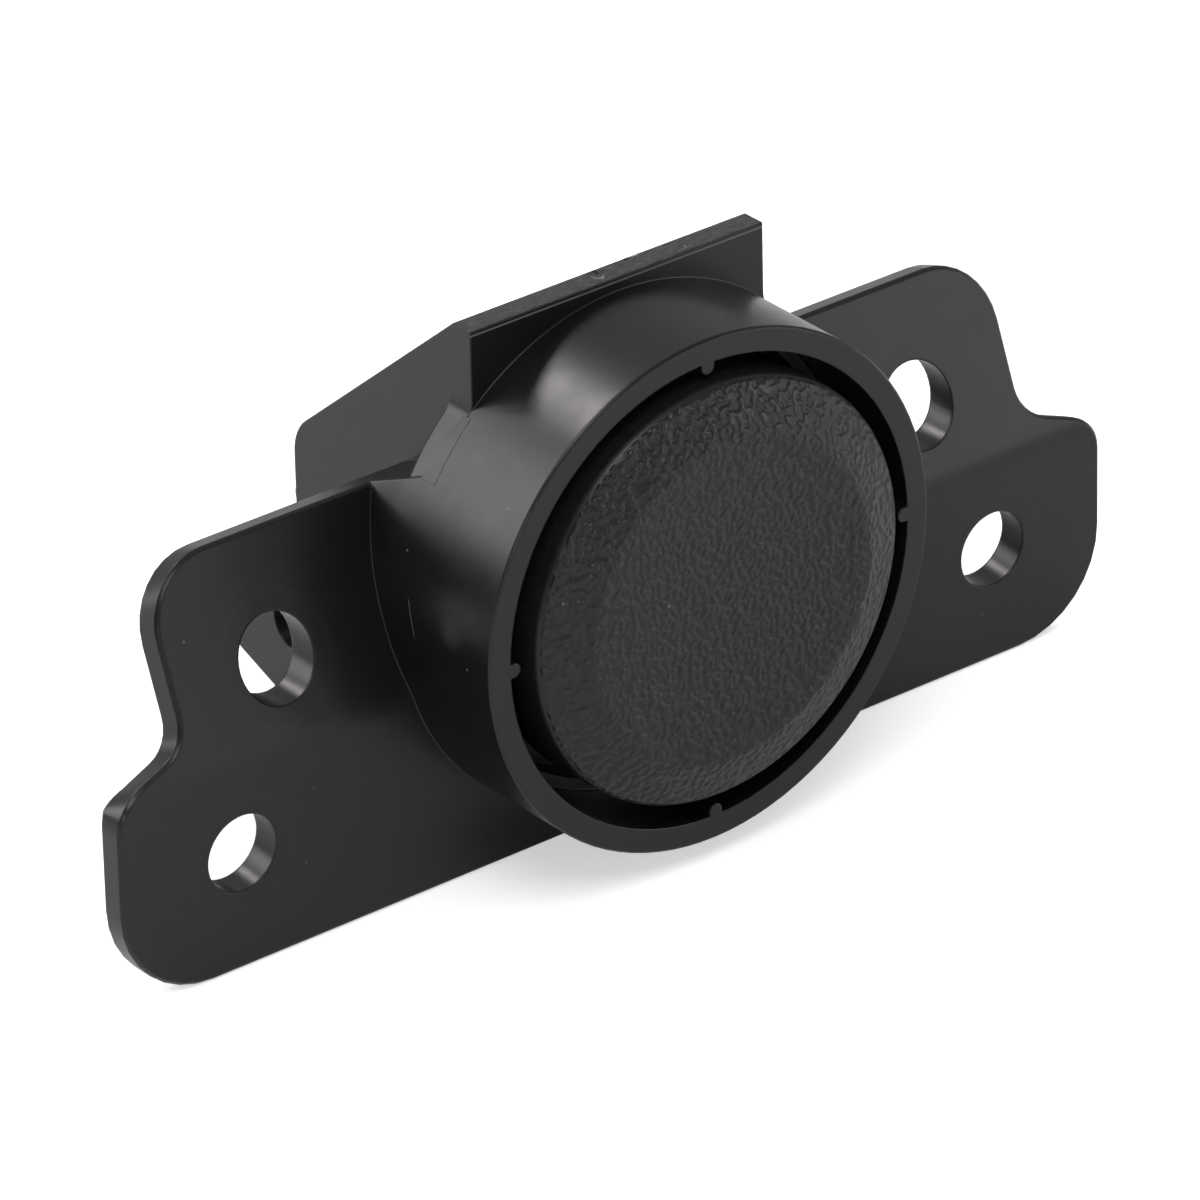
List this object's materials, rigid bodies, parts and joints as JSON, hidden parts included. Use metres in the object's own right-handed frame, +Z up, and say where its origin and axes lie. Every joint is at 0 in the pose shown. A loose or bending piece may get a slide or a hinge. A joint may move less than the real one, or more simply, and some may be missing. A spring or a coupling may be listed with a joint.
{
  "type": "glove box latch",
  "caption": "Push-button latch for a glove box: black moulded housing with drum and bent screw flange, grained button, stem, springs and pivoting hook behind.",
  "frame": {"origin": "on the drum's axis, in the plane of the lower flange's front face", "axes": "+X to the right seen from the front, +Y to the back, the way the button is pressed, +Z up"},
  "size_m": [0.0902, 0.0455, 0.043],
  "materials": {
    "housing_plastic": "satin black moulded plastic",
    "grained_plastic": "black with leather grain",
    "inner_plastic": "plain black moulded plastic",
    "lever_plastic": "plain dark grey moulded plastic",
    "pin_steel": "drawn steel",
    "spring_steel": "spring wire",
    "buffer_rubber": "matt rubber"
  },
  "bodies": {
    "housing": {"housing": "housing_plastic", "pivot_pin": "pin_steel", "button_spring": "spring_steel", "hook_spring": "spring_steel"},
    "button": {"button_cap": "grained_plastic", "button_plunger": "inner_plastic", "plunger_clip": "spring_steel", "plunger_buffer": "buffer_rubber"},
    "hook": {"hook_lever": "lever_plastic", "striker_pad": "buffer_rubber"}
  },
  "joints": [
    {"name": "button_press", "type": "slide", "parent": "housing", "child": "button", "axis": [0, 1, 0], "range_m": [0, 0.0045], "stiffness_N_per_m": 900, "springref_m": -0.004, "deforming": ["button_spring"]},
    {"name": "hook_turn", "type": "hinge", "parent": "housing", "child": "hook", "pos_m": [0, 0.0223, -0.0111], "axis": [-1, 0, 0], "range_deg": [0, 21], "stiffness_Nm_per_rad": 0.06, "springref_deg": -34.38, "deforming": ["hook_spring"]}
  ],
  "couplings": [
    {"joint": "hook_turn", "follows": "button_press", "rad_per_m": 81.4}
  ]
}
